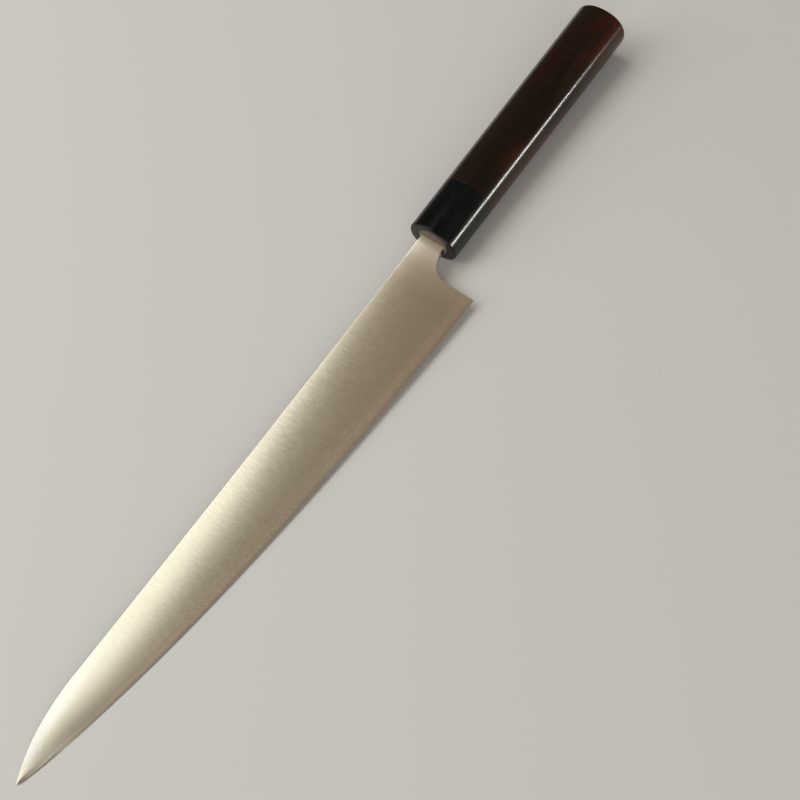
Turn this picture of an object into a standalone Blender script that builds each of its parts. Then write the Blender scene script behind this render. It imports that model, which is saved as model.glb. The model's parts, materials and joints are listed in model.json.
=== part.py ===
"""Sujihiki slicing knife with an oval wooden handle.

The knife is drawn with X from the tip to the butt along the middle of the handle,
Y towards the spine and Z out of the left face. At the end it is laid down, right
face under, on the plane that carries it: the flank of the handle and one point of
the cutting edge.
"""
import math

import bmesh
import bpy
from mathutils import Vector

MM = 0.001

# Blade, seen from the side
BLADE_LENGTH = 269.5 * MM
NECK_LENGTH = 13.5 * MM
TIP_DROP = 1.4 * MM
TIP_NOSE = 0.4 * MM
TIP_CURVE_LENGTH = 44.0 * MM
SPINE_CREST = 8.0 * MM
SPINE_AT_NECK = 6.1 * MM
HEEL_DROP = 31.7 * MM
BELLY_REACH = 63.0 * MM
BELLY_DROP = 15.7 * MM
BELLY_SLOPE = 0.16
HEEL_SLOPE = 0.028
CHOIL_TOP_DROP = 17.0 * MM
NECK_DROP = 6.7 * MM

# Blade, thickness
SPINE_THICKNESS_TIP = 0.5 * MM
SPINE_THICKNESS_HEEL = 2.4 * MM
NECK_THICKNESS = 2.9 * MM
CORE_THICKNESS_TIP = 0.18 * MM
CORE_THICKNESS_HEEL = 0.56 * MM
EDGE_THICKNESS = 0.06 * MM
EDGE_BEVEL_HEIGHT = 0.5 * MM
CLADDING_LIP = 0.05 * MM
WELD_LINE = 0.01 * MM
SPINE_EASE = 0.3 * MM

# Tang, inside the handle
TANG_LENGTH = 98.0 * MM
TANG_SHOULDER_DEPTH = 4.0 * MM
TANG_HEIGHT_FRONT = 10.4 * MM
TANG_HEIGHT_END = 4.6 * MM
TANG_THICKNESS_END = 1.8 * MM

# Handle
HANDLE_LENGTH = 142.0 * MM
FERRULE_LENGTH = 28.0 * MM
FRONT_WIDTH = 25.0 * MM
FRONT_DEPTH = 21.0 * MM
BUTT_WIDTH = 26.0 * MM
BUTT_DEPTH = 22.0 * MM
OVAL_FULLNESS = 2.2
FRONT_EASE = 0.8 * MM
BUTT_EASE = 1.3 * MM

# Dowel that joins ferrule and handle body, and the fill round the neck
DOWEL_DIAMETER = 15.6 * MM
DOWEL_LENGTH = 106.0 * MM
SEAL_DEPTH = 3.0 * MM
SEAL_PROUD = 0.5 * MM
SEAL_WALL = 0.5 * MM
SEAL_EASE = 0.25 * MM

# Clearances
FIT_CLEARANCE = 0.3 * MM
GLUE_LINE = 0.02 * MM
BORE_SPARE_DEPTH = 1.0 * MM

# Fineness of the meshes
EDGE_COLUMNS = 58
CHOIL_COLUMNS = 18
FLANK_ROWS = 9
OVAL_POINTS = 96
ROUND_POINTS = 64
EASE_STEPS = 3
SPINE_STEPS = 2
SHARP_ANGLE = 40.0

# Weights per volume, for the balance point
STEEL_DENSITY = 7800.0
HORN_DENSITY = 1300.0
ROSEWOOD_DENSITY = 850.0
DOWEL_DENSITY = 550.0
SEAL_DENSITY = 1100.0

# Places that follow from the sizes
HEEL_X = BLADE_LENGTH
HANDLE_X = BLADE_LENGTH + NECK_LENGTH
NECK_X = HANDLE_X - 2 * SEAL_PROUD
BUTT_X = HANDLE_X + HANDLE_LENGTH
JOINT_X = HANDLE_X + FERRULE_LENGTH
TANG_X = HANDLE_X + TANG_SHOULDER_DEPTH
TANG_END_X = HANDLE_X + TANG_LENGTH
NECK_MIDDLE = (SPINE_AT_NECK - NECK_DROP) / 2
NECK_HEIGHT = SPINE_AT_NECK + NECK_DROP


def bezier(points, t):
    """Point of a cubic curve with four control points."""
    a, b, c, d = points
    s = 1 - t
    x = s**3 * a[0] + 3 * s * s * t * b[0] + 3 * s * t * t * c[0] + t**3 * d[0]
    y = s**3 * a[1] + 3 * s * s * t * b[1] + 3 * s * t * t * c[1] + t**3 * d[1]
    return x, y


def height_at(curves, x):
    """Y of a chain of curves that runs steadily along X."""
    curve = next((c for c in curves if x <= c[3][0]), curves[-1])
    low, high = 0.0, 1.0
    for _ in range(40):
        middle = (low + high) / 2
        if bezier(curve, middle)[0] < x:
            low = middle
        else:
            high = middle
    return bezier(curve, (low + high) / 2)[1]


def mix(a, b, share):
    return a + (b - a) * share


def smooth(share):
    """Even start and end between 0 and 1."""
    share = min(max(share, 0.0), 1.0)
    return share * share * (3 - 2 * share)


def spine_curves():
    """From the tip up to the crest, then the long, faintly hollow back."""
    rise = SPINE_CREST + TIP_DROP
    reach = TIP_CURVE_LENGTH
    back = NECK_X - reach
    fall = SPINE_CREST - SPINE_AT_NECK
    tip = (0, -TIP_DROP)
    crest = (reach, SPINE_CREST)
    neck = (NECK_X, SPINE_AT_NECK)
    tip_pull = (0.27 * reach, 0.72 * rise - TIP_DROP)
    crest_pull = (0.64 * reach, SPINE_CREST)
    back_pull = (reach + 0.28 * back, SPINE_CREST - 0.53 * fall)
    neck_pull = (reach + 0.65 * back, SPINE_AT_NECK - 0.05 * fall)
    return [(tip, tip_pull, crest_pull, crest), (crest, back_pull, neck_pull, neck)]


def edge_curves():
    """From the tip down through the belly to the heel."""
    rest = HEEL_X - BELLY_REACH
    fall = BELLY_DROP - TIP_DROP
    tip = (0, -TIP_DROP)
    belly = (BELLY_REACH, -BELLY_DROP)
    heel = (HEEL_X, -HEEL_DROP)
    tip_pull = (0.13 * BELLY_REACH, -TIP_DROP - 0.27 * fall)
    before = 0.4 * BELLY_REACH
    after = 0.24 * rest
    ahead = 0.36 * rest
    belly_in = (BELLY_REACH - before, -BELLY_DROP + BELLY_SLOPE * before)
    belly_out = (BELLY_REACH + after, -BELLY_DROP - BELLY_SLOPE * after)
    heel_pull = (HEEL_X - ahead, -HEEL_DROP + HEEL_SLOPE * ahead)
    return [(tip, tip_pull, belly_in, belly), (belly, belly_out, heel_pull, heel)]


def choil_curve():
    """The finger notch, from the heel line round to the neck."""
    climb = CHOIL_TOP_DROP - NECK_DROP
    start = (HEEL_X, -CHOIL_TOP_DROP)
    first = (HEEL_X, -NECK_DROP - 0.42 * climb)
    second = (HEEL_X + 0.3 * NECK_LENGTH, -NECK_DROP - 0.14 * climb)
    end = (NECK_X, -NECK_DROP)
    return start, first, second, end


SPINE = spine_curves()
EDGE = edge_curves()


def core_half(x):
    """Half thickness of the hard middle layer."""
    share = min(x / HEEL_X, 1.0)
    return mix(CORE_THICKNESS_TIP, CORE_THICKNESS_HEEL, share) / 2


def back_half(x):
    """Half thickness of the blade along its spine."""
    share = min(x / HEEL_X, 1.0)
    return mix(SPINE_THICKNESS_TIP, SPINE_THICKNESS_HEEL, share**0.6) / 2


def ground(x):
    """Edge height, blade height, bevel height, back and shoulder half thickness at x."""
    x = min(x, HEEL_X)
    low = height_at(EDGE, x)
    tall = height_at(SPINE, x) - low
    bevel = min(EDGE_BEVEL_HEIGHT, 0.2 * tall)
    back = back_half(x)
    return low, tall, bevel, back, 0.1 * back


def flank(x, y):
    """Half thickness of the whole blade at a point of its side view."""
    if x > TANG_X:
        share = (x - TANG_X) / (TANG_END_X - TANG_X)
        return mix(NECK_THICKNESS, TANG_THICKNESS_END, share) / 2
    low, tall, bevel, back, shoulder = ground(x)
    up = min(max((y - low - bevel) / (tall - bevel), 0.0), 1.0)
    convex = mix(shoulder, back, 1 - (1 - up) ** 2)
    return mix(convex, NECK_THICKNESS / 2, smooth((x - HEEL_X) / (NECK_X - HEEL_X)))


def weld_height(x):
    """Height above the edge at which the cladding ends and the core shows."""
    low, tall, bevel, back, shoulder = ground(x)
    depth = (core_half(x) + CLADDING_LIP - shoulder) / (back - shoulder)
    up = 1 - math.sqrt(1 - min(max(depth, 0.0), 1.0))
    return low + bevel + up * (tall - bevel)


def edge_stations():
    """X of the sections from tip to heel, closer together at the tip."""
    span = HEEL_X - TIP_NOSE
    return [TIP_NOSE + span * (i / EDGE_COLUMNS) ** 1.5 for i in range(EDGE_COLUMNS + 1)]


def plate_columns():
    """Low and high end of each section of the layered plate, tip to tang end."""
    columns = [((x, weld_height(x)), (x, height_at(SPINE, x))) for x in edge_stations()]
    lows = []
    start = columns[-1][0][1]
    for i in range(1, 4):
        lows.append((HEEL_X, mix(start, -CHOIL_TOP_DROP, i / 4)))
    curve = choil_curve()
    lows += [bezier(curve, i / CHOIL_COLUMNS) for i in range(CHOIL_COLUMNS + 1)]
    for i, low in enumerate(lows, 1):
        x = mix(HEEL_X, NECK_X, i / len(lows))
        columns.append((low, (x, height_at(SPINE, x))))
    columns.append(((TANG_X, -NECK_DROP), (TANG_X, SPINE_AT_NECK)))
    for share in (0.0, 0.33, 0.67, 1.0):
        x = mix(TANG_X + GLUE_LINE, TANG_END_X, share)
        half = mix(TANG_HEIGHT_FRONT, TANG_HEIGHT_END, share) / 2
        columns.append(((x, NECK_MIDDLE - half), (x, NECK_MIDDLE + half)))
    return columns


COLUMNS = plate_columns()


def material(name, color, roughness, metallic=0.0):
    made = bpy.data.materials.new(name)
    made.use_nodes = True
    shader = made.node_tree.nodes["Principled BSDF"]
    shader.inputs["Base Color"].default_value = (*color, 1.0)
    shader.inputs["Roughness"].default_value = roughness
    shader.inputs["Metallic"].default_value = metallic
    return made


def add_object(name, bm, finish, collection):
    """Turns a bmesh into a named object with smooth shading and its own material."""
    bmesh.ops.recalc_face_normals(bm, faces=bm.faces)
    mesh = bpy.data.meshes.new(name)
    bm.to_mesh(mesh)
    bm.free()
    mesh.shade_smooth()
    mesh.set_sharp_from_angle(angle=math.radians(SHARP_ANGLE))
    obj = bpy.data.objects.new(name, mesh)
    obj.data.materials.append(finish)
    collection.objects.link(obj)
    return obj


def add_sheet(bm, across, along, place):
    """Adds a grid and moves each of its points to where place(i, j) puts it."""
    made = bmesh.ops.create_grid(bm, x_segments=across, y_segments=along, size=0.5)
    for vert in made["verts"]:
        i = round((vert.co.x + 0.5) * across)
        j = round((vert.co.y + 0.5) * along)
        vert.co = place(i, j)
    return made["verts"]


def ease(bm, edges, size, steps):
    """Rounds the given edges of a closed solid."""
    bmesh.ops.recalc_face_normals(bm, faces=bm.faces)
    bmesh.ops.bevel(bm, geom=edges, offset=size, offset_type="OFFSET", segments=steps,
                    profile=0.5, affect="EDGES", material=-1, clamp_overlap=True)


def extrude_to(bm, depth):
    """Closes a sheet into a solid whose other side lies at Z = depth(point)."""
    made = bmesh.ops.extrude_face_region(bm, geom=bm.faces[:])
    for item in made["geom"]:
        if isinstance(item, bmesh.types.BMVert):
            item.co.z = depth(item.co)


def plate_point(i, share):
    low, high = COLUMNS[i]
    return mix(low[0], high[0], share), mix(low[1], high[1], share)


def build_core(collection):
    """Hard layer: a thin flat plate that shows along the cutting edge."""
    bm = bmesh.new()
    stations = edge_stations()

    def plate(i, j):
        x, y = plate_point(i, j)
        return Vector((x, y, core_half(x)))

    def bare_edge(i, j):
        x = stations[i]
        low, _, bevel, _, _ = ground(x)
        top = weld_height(x)
        y = (low, low + bevel, (low + bevel + top) / 2, top)[j]
        if j == 0:
            return Vector((x, y, EDGE_THICKNESS / 2))
        sunk = CLADDING_LIP * (y - low - bevel) / (top - low - bevel)
        return Vector((x, y, flank(x, y) - sunk))

    add_sheet(bm, len(COLUMNS) - 1, 1, plate)
    add_sheet(bm, len(stations) - 1, 3, bare_edge)
    bmesh.ops.remove_doubles(bm, verts=bm.verts, dist=0.002 * MM)
    extrude_to(bm, lambda point: -point.z)
    return add_object("core_steel", bm, material("core_steel", (0.56, 0.54, 0.5), 0.32, 1.0), collection)


def build_cladding(name, side, collection):
    """Softer outer layer on one side of the core, ground to the blade's flank."""
    bm = bmesh.new()
    last = len(COLUMNS) - 1

    def outside(i, j):
        x, y = plate_point(i, j / FLANK_ROWS)
        return Vector((x, y, flank(x, y)))

    add_sheet(bm, last, FLANK_ROWS, outside)
    outer = set(bm.verts)
    rim = [e for e in bm.edges if e.is_boundary]
    extrude_to(bm, lambda point: core_half(point.x) + WELD_LINE)
    eased = []
    for edge in rim:
        middle = (edge.verts[0].co + edge.verts[1].co) / 2
        on_spine = middle.y > height_at(SPINE, middle.x) - SPINE_EASE
        behind_heel = middle.x > HEEL_X - GLUE_LINE
        if TIP_CURVE_LENGTH / 4 < middle.x < HANDLE_X and (on_spine or behind_heel):
            if edge.is_valid and edge.verts[0] in outer:
                eased.append(edge)
    ease(bm, eased, SPINE_EASE, SPINE_STEPS)
    if side < 0:
        bmesh.ops.scale(bm, vec=(1, 1, -1), verts=bm.verts)
    return add_object(name, bm, material(name, (0.62, 0.6, 0.55), 0.38, 1.0), collection)


def oval_bar(bm, x_start, x_end):
    """Bar of the handle's oval section, from its true size at each end."""
    made = bmesh.ops.create_cone(bm, cap_ends=True, segments=OVAL_POINTS, radius1=1, radius2=1, depth=1)
    for vert in made["verts"]:
        angle = math.atan2(vert.co.y, vert.co.x)
        x = x_start if vert.co.z < 0 else x_end
        share = (x - HANDLE_X) / HANDLE_LENGTH
        wide = mix(FRONT_WIDTH, BUTT_WIDTH, share) / 2
        deep = mix(FRONT_DEPTH, BUTT_DEPTH, share) / 2
        power = 2 / OVAL_FULLNESS
        y = math.copysign(abs(math.cos(angle)) ** power, math.cos(angle)) * wide
        z = math.copysign(abs(math.sin(angle)) ** power, math.sin(angle)) * deep
        vert.co = Vector((x, y, z))
    return made["verts"]


def ease_rim(bm, x, radius):
    """Rounds the rim of the end that lies at x."""
    rim = [e for e in bm.edges if all(abs(v.co.x - x) < GLUE_LINE / 2 for v in e.verts)]
    ease(bm, rim, radius, EASE_STEPS)


def round_bar(bm, x_start, x_end, radius, chamfer=0.0):
    """Round bar along X, with the far end chamfered."""
    made = bmesh.ops.create_cone(
        bm, cap_ends=True, segments=ROUND_POINTS, radius1=radius, radius2=radius, depth=1)
    for vert in made["verts"]:
        x = x_start if vert.co.z < 0 else x_end
        vert.co = Vector((x, vert.co.x, vert.co.y))
    if chamfer:
        rim = [e for e in bm.edges if all(abs(v.co.x - x_end) < GLUE_LINE / 2 for v in e.verts)]
        ease(bm, rim, chamfer, 1)


def block(bm, x_start, x_end, high_start, high_end, thick_start, thick_end):
    """Tapering block along X, centred on the neck's middle line."""
    made = bmesh.ops.create_cube(bm, size=1)
    for vert in made["verts"]:
        at_end = vert.co.x > 0
        high = high_end if at_end else high_start
        thick = thick_end if at_end else thick_start
        x = x_end if at_end else x_start
        vert.co = Vector((x, NECK_MIDDLE + vert.co.y * high, vert.co.z * thick))
    return made["verts"]


def cut(obj, name, bm, cutters):
    """Boolean difference with a hidden cutter."""
    bmesh.ops.recalc_face_normals(bm, faces=bm.faces)
    mesh = bpy.data.meshes.new(name)
    bm.to_mesh(mesh)
    bm.free()
    tool = bpy.data.objects.new(name, mesh)
    tool.display_type = "WIRE"
    tool.hide_render = True
    cutters.objects.link(tool)
    modifier = obj.modifiers.new(name, "BOOLEAN")
    modifier.operation = "DIFFERENCE"
    modifier.solver = "EXACT"
    modifier.object = tool
    return tool


def build_ferrule(collection, cutters):
    """Horn ferrule, bored right through for the dowel."""
    bm = bmesh.new()
    oval_bar(bm, HANDLE_X, JOINT_X - GLUE_LINE)
    ease_rim(bm, HANDLE_X, FRONT_EASE)
    obj = add_object("ferrule", bm, material("ferrule", (0.03, 0.03, 0.028), 0.3), collection)
    bore = bmesh.new()
    radius = DOWEL_DIAMETER / 2 + FIT_CLEARANCE
    round_bar(bore, HANDLE_X - BORE_SPARE_DEPTH, JOINT_X + BORE_SPARE_DEPTH, radius)
    return obj, cut(obj, "ferrule_bore_cutter", bore, cutters)


def build_handle_body(collection, cutters):
    """Rosewood body with a blind bore for the dowel."""
    bm = bmesh.new()
    oval_bar(bm, JOINT_X, BUTT_X)
    ease_rim(bm, BUTT_X, BUTT_EASE)
    obj = add_object("handle_body", bm, material("handle_body", (0.09, 0.035, 0.02), 0.4), collection)
    bore = bmesh.new()
    radius = DOWEL_DIAMETER / 2 + FIT_CLEARANCE
    end = HANDLE_X + DOWEL_LENGTH + BORE_SPARE_DEPTH
    round_bar(bore, JOINT_X - BORE_SPARE_DEPTH, end, radius)
    return obj, cut(obj, "body_bore_cutter", bore, cutters)


def build_dowel(collection, cutters):
    """Pale dowel that carries ferrule and body, slotted for neck and tang."""
    bm = bmesh.new()
    round_bar(bm, HANDLE_X, HANDLE_X + DOWEL_LENGTH, DOWEL_DIAMETER / 2, BORE_SPARE_DEPTH)
    obj = add_object("tenon_dowel", bm, material("tenon_dowel", (0.5, 0.31, 0.16), 0.6), collection)
    spare = 2 * FIT_CLEARANCE
    slot = bmesh.new()
    block(slot, TANG_X - FIT_CLEARANCE, TANG_END_X + FIT_CLEARANCE,
          TANG_HEIGHT_FRONT + spare, TANG_HEIGHT_END + spare,
          NECK_THICKNESS + spare, TANG_THICKNESS_END + spare)
    tools = [cut(obj, "tang_slot_cutter", slot, cutters)]
    mouth = bmesh.new()
    block(mouth, HANDLE_X - BORE_SPARE_DEPTH, TANG_X + FIT_CLEARANCE,
          NECK_HEIGHT + spare, NECK_HEIGHT + spare,
          NECK_THICKNESS + spare, NECK_THICKNESS + spare)
    tools.append(cut(obj, "neck_slot_cutter", mouth, cutters))
    pocket = bmesh.new()
    high = NECK_HEIGHT + 2 * SEAL_WALL
    thick = NECK_THICKNESS + 2 * SEAL_WALL
    block(pocket, HANDLE_X - BORE_SPARE_DEPTH, HANDLE_X + SEAL_DEPTH, high, high, thick, thick)
    tools.append(cut(obj, "seal_pocket_cutter", pocket, cutters))
    return obj, tools


def build_seal(collection, cutters):
    """Amber fill that closes the slot round the neck, slightly proud of the ferrule."""
    bm = bmesh.new()
    high = NECK_HEIGHT + 2 * (SEAL_WALL - GLUE_LINE)
    thick = NECK_THICKNESS + 2 * (SEAL_WALL - GLUE_LINE)
    front = HANDLE_X - SEAL_PROUD
    block(bm, front, HANDLE_X + SEAL_DEPTH - GLUE_LINE, high, high, thick, thick)
    ease_rim(bm, front, SEAL_EASE)
    obj = add_object("slot_seal", bm, material("slot_seal", (0.62, 0.36, 0.16), 0.35), collection)
    hole = bmesh.new()
    high = NECK_HEIGHT + 2 * GLUE_LINE
    thick = NECK_THICKNESS + 2 * GLUE_LINE
    block(hole, front - BORE_SPARE_DEPTH, HANDLE_X + SEAL_DEPTH + BORE_SPARE_DEPTH,
          high, high, thick, thick)
    return obj, cut(obj, "neck_hole_cutter", hole, cutters)


def final_points(obj):
    """Finished mesh of an object as triangles, in the knife's own frame."""
    graph = bpy.context.evaluated_depsgraph_get()
    bm = bmesh.new()
    bm.from_object(obj, graph)
    bmesh.ops.triangulate(bm, faces=bm.faces)
    return bm


def balance_point(weighted):
    """Centre of mass of the whole knife."""
    mass = 0.0
    moment = Vector((0, 0, 0))
    for obj, density in weighted:
        bm = final_points(obj)
        for face in bm.faces:
            a, b, c = (v.co for v in face.verts)
            share = density * a.dot(b.cross(c)) / 6
            mass += share
            moment += share * (a + b + c) / 4
        bm.free()
    return moment / mass


def resting_face(weighted):
    """Outward normal of the hull face, right side down, that carries the balance point."""
    centre = balance_point(weighted)
    hull = bmesh.new()
    for obj, _ in weighted:
        bm = final_points(obj)
        for vert in bm.verts:
            hull.verts.new(vert.co)
        bm.free()
    made = bmesh.ops.convex_hull(hull, input=hull.verts)
    best = None
    for item in made["geom"]:
        if not isinstance(item, bmesh.types.BMFace):
            continue
        a, b, c = (v.co.copy() for v in item.verts[:3])
        normal = (b - a).cross(c - a).normalized()
        if normal.dot(a - centre) < 0:
            normal.negate()
            b, c = c, b
        if normal.z > -0.8:
            continue
        foot = centre + normal * normal.dot(a - centre)
        sides = [(q - p).cross(foot - p).dot(normal) for p, q in ((a, b), (b, c), (c, a))]
        drop = normal.dot(a - centre)
        if min(sides) >= 0 and (best is None or drop < best[0]):
            best = (drop, normal)
    hull.free()
    return best[1]


def lay_down(weighted, tools):
    """Hangs every object on one empty that lays the knife on the plane Z = 0."""
    normal = resting_face(weighted)
    stand = bpy.data.objects.new("knife", None)
    bpy.context.scene.collection.objects.link(stand)
    turn = normal.rotation_difference(Vector((0, 0, -1))).to_matrix()
    points = []
    for obj, _ in weighted:
        bm = final_points(obj)
        points += [turn @ v.co for v in bm.verts]
        bm.free()
    low = [min(p[k] for p in points) for k in range(3)]
    high = [max(p[k] for p in points) for k in range(3)]
    stand.rotation_mode = "QUATERNION"
    stand.rotation_quaternion = turn.to_quaternion()
    stand.location = (-(low[0] + high[0]) / 2, -(low[1] + high[1]) / 2, -low[2])
    for obj in [o for o, _ in weighted] + tools:
        obj.parent = stand


def main():
    for obj in list(bpy.data.objects):
        bpy.data.objects.remove(obj, do_unlink=True)
    knife = bpy.data.collections.new("sujihiki_knife")
    cutters = bpy.data.collections.new("cutters")
    bpy.context.scene.collection.children.link(knife)
    bpy.context.scene.collection.children.link(cutters)
    core = build_core(knife)
    left = build_cladding("cladding_left", 1, knife)
    right = build_cladding("cladding_right", -1, knife)
    ferrule, ferrule_bore = build_ferrule(knife, cutters)
    body, body_bore = build_handle_body(knife, cutters)
    dowel, slots = build_dowel(knife, cutters)
    seal, neck_hole = build_seal(knife, cutters)
    bpy.context.view_layer.update()
    weighted = [(core, STEEL_DENSITY), (left, STEEL_DENSITY), (right, STEEL_DENSITY),
                (ferrule, HORN_DENSITY), (body, ROSEWOOD_DENSITY),
                (dowel, DOWEL_DENSITY), (seal, SEAL_DENSITY)]
    lay_down(weighted, [ferrule_bore, body_bore, neck_hole] + slots)


main()
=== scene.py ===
"""Slicing knife with a laminated blade and an oval wooden handle, lying on a pale floor.

Shapes are drawn along the handle: X from the tip to the butt, Y towards the spine and Z
out of the left face, in metres. add_piece then turns each finished mesh into the
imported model's frame.
"""
import json
import math

import bmesh
import bpy
from bpy.props import FloatProperty, FloatVectorProperty, IntProperty, PointerProperty
from bpy.types import Operator, Panel, PropertyGroup
from mathutils import Matrix, Vector


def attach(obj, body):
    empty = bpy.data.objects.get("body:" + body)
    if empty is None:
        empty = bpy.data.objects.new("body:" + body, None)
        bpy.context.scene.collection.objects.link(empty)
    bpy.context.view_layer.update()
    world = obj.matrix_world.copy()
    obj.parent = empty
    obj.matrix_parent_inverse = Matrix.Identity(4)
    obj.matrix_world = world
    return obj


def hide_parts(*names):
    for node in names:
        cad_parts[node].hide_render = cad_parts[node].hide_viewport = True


bl_info = {
    "name": "Slicing Knife",
    "version": (1, 0, 0),
    "blender": (4, 5, 0),
    "location": "View3D > Sidebar > Knife",
    "description": "Builds a slicing knife and its stage",
    "category": "Add Mesh",
}

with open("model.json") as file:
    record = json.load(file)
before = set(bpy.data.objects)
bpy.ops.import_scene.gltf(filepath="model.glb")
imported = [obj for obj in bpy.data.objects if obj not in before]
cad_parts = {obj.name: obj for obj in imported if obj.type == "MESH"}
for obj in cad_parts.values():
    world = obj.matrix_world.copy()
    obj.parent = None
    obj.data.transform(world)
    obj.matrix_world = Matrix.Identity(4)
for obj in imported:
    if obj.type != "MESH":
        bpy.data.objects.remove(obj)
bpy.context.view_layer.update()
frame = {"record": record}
butt_face = next(m for m in frame["record"]["mounts"] if m["name"] == "butt_face")

MM = 0.001
UV_NAME = "grind"
UV_SCALE = 10.0  # UV units in a metre
HEIGHT_NAME = "above_edge"
SHARP_ANGLE = math.radians(35.0)
RIM_STEEPNESS = 0.8  # flank faces have a steeper normal along Z
ROUND, SLOT = 2.0, 12.0  # fullness of a circle, and of a slot with small corners
BLADE_PIECES = ("blade_core", "blade_cladding_left", "blade_cladding_right")
HANDLE_PIECES = ("horn_ferrule", "rosewood_body")
KNIFE_PIECES = BLADE_PIECES + HANDLE_PIECES + ("dowel_end", "resin_seal")


# Settings

def length(label, note, size):
    return FloatProperty(
        name=label, description=note, default=size * MM, precision=5, unit="LENGTH")


def number(label, note, default, high=1.0, low=0.0):
    return FloatProperty(name=label, description=note, default=default, min=low, max=high)


def count(label, note, default):
    return IntProperty(name=label, description=note, default=default, min=6)


def colour(label, note, default):
    return FloatVectorProperty(
        name=label, description=note, default=default, subtype="COLOR", size=3, min=0.0, max=1.0)


class KnifeBladeSizes(PropertyGroup):
    """Sizes of the blade, drawn from its tip."""

    blade_length: length("Blade", "Tip to heel", 269.5)
    neck_length: length("Neck", "Heel to ferrule", 13.5)
    tip_drop: length("Tip drop", "Tip below the handle's middle", 1.4)
    tip_nose: length("Tip nose", "Rounding of the very point", 0.4)
    tip_curve: length("Tip curve", "Tip to the highest point", 44)
    spine_crest: length("Crest", "Spine above the middle there", 8)
    spine_at_neck: length("Spine at neck", "Spine above the middle at the neck", 6.1)
    heel_drop: length("Heel drop", "Heel below the middle", 31.7)
    belly_reach: length("Belly reach", "Tip to the end of the belly curve", 63)
    belly_drop: length("Belly drop", "Edge below the middle there", 15.7)
    choil_top: length("Notch start", "Where the heel line turns into the notch", 17)
    neck_drop: length("Neck drop", "Underside of the neck below the middle", 6.7)
    spine_tip: length("Spine at tip", "Thickness at the tip", 0.5)
    spine_heel: length("Spine at heel", "Thickness at the heel", 2.4)
    neck_thickness: length("Neck thickness", "Thickness at the ferrule", 2.9)
    core_tip: length("Core at tip", "Thickness of the hard layer", 0.25)
    core_heel: length("Core at heel", "Thickness of the hard layer", 0.63)
    edge_thickness: length("Edge", "Width left at the cutting edge", 0.06)
    edge_bevel: length("Edge bevel", "Height of the last, steeper bevel", 0.5)
    lip: length("Cladding lip", "Thickness of the cladding where it ends", 0.015)
    weld: length("Weld line", "Gap between core and cladding", 0.01)
    spine_ease: length("Spine ease", "Rounding of the spine", 0.3)
    notch_ease: length("Notch ease", "Rounding of the heel line and the notch", 0.6)
    wave: length("Weld wave", "Height of the weld line's wander", 0.45)
    tang_length: length("Tang", "Length inside the handle", 98)
    tang_shoulder: length("Shoulder", "Depth where the neck steps down", 4)
    tang_front: length("Tang front", "Height of the tang at its shoulder", 10.4)
    tang_end: length("Tang end", "Height of the tang at its end", 4.6)
    tang_thin: length("Tang thickness", "Thickness of the tang at its end", 1.8)
    columns: count("Columns", "Sections between tip and heel", 300)
    rows: count("Rows", "Rows of faces across the flank", 34)


class KnifeHandleSizes(PropertyGroup):
    """Sizes of the handle, from the front of the ferrule."""

    handle_length: length("Handle", "Front of the ferrule to the butt", 142)
    ferrule_length: length("Ferrule", "Length of the horn ferrule", 28)
    front_width: length("Front width", "Height of the oval at the front", 25)
    front_depth: length("Front depth", "Thickness of the oval at the front", 21)
    butt_width: length("Butt width", "Height of the oval at the butt", 26)
    butt_depth: length("Butt depth", "Thickness of the oval at the butt", 22)
    fullness: number("Fullness", "2 is an ellipse, more is squarer", 2.2, 8.0, 2.0)
    front_ease: length("Front ease", "Rounding of the ferrule's rim", 0.8)
    butt_ease: length("Butt ease", "Rounding of the butt's rim", 1.3)
    joint_ease: length("Joint ease", "Rounding on each side of the joint", 0.06)
    dowel_width: length("Dowel", "Diameter of the dowel", 15.6)
    dowel_length: length("Dowel length", "Length of the dowel", 106)
    dowel_fit: length("Dowel fit", "Glue line round the dowel", 0.03)
    dowel_sunk: length("Dowel sunk", "Depth behind the ferrule's face", 0.12)
    seal_depth: length("Seal depth", "Depth of the fill round the neck", 3)
    seal_wall: length("Seal wall", "Width of the fill round the neck", 0.5)
    seal_proud: length("Seal proud", "Height of the fill above the dowel", 0.5)
    points: count("Points", "Points round each section", 192)


class KnifeFinishes(PropertyGroup):
    """Colours and polish."""

    cladding: colour("Cladding", "Satin outer steel", (0.68, 0.645, 0.545))
    core: colour("Core", "Hard steel along the edge", (0.73, 0.665, 0.56))
    haze: colour("Haze", "Pale mottled band along the weld line", (0.88, 0.775, 0.68))
    steel_rough: number("Steel roughness", "Roughness of the ground flanks", 0.235)
    steel_grain: number("Steel grain", "Stretch of the shine by the scratches", 0.95)
    rim_rough: number("Rim roughness", "Roughness of the polished spine and notch", 0.17)
    horn_dark: colour("Horn, dark", "Dark horn", (0.005, 0.0054, 0.0044))
    horn_light: colour("Horn, light", "Paler streaks in the horn", (0.0105, 0.0105, 0.009))
    wood_dark: colour("Rosewood, dark", "Dark figure of the rosewood", (0.0062, 0.0037, 0.0024))
    wood_brown: colour("Rosewood, brown", "Body colour of the rosewood", (0.0158, 0.0094, 0.0053))
    wood_red: colour("Rosewood, red", "Red streaks in the rosewood", (0.036, 0.01, 0.0052))
    dowel_pale: colour("Dowel, pale", "Pale wood of the dowel", (0.246, 0.186, 0.124))
    dowel_dark: colour("Dowel, dark", "Darker rings of the dowel", (0.160, 0.114, 0.078))
    resin: colour("Resin", "Amber fill round the neck", (0.41, 0.30, 0.19))


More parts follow.
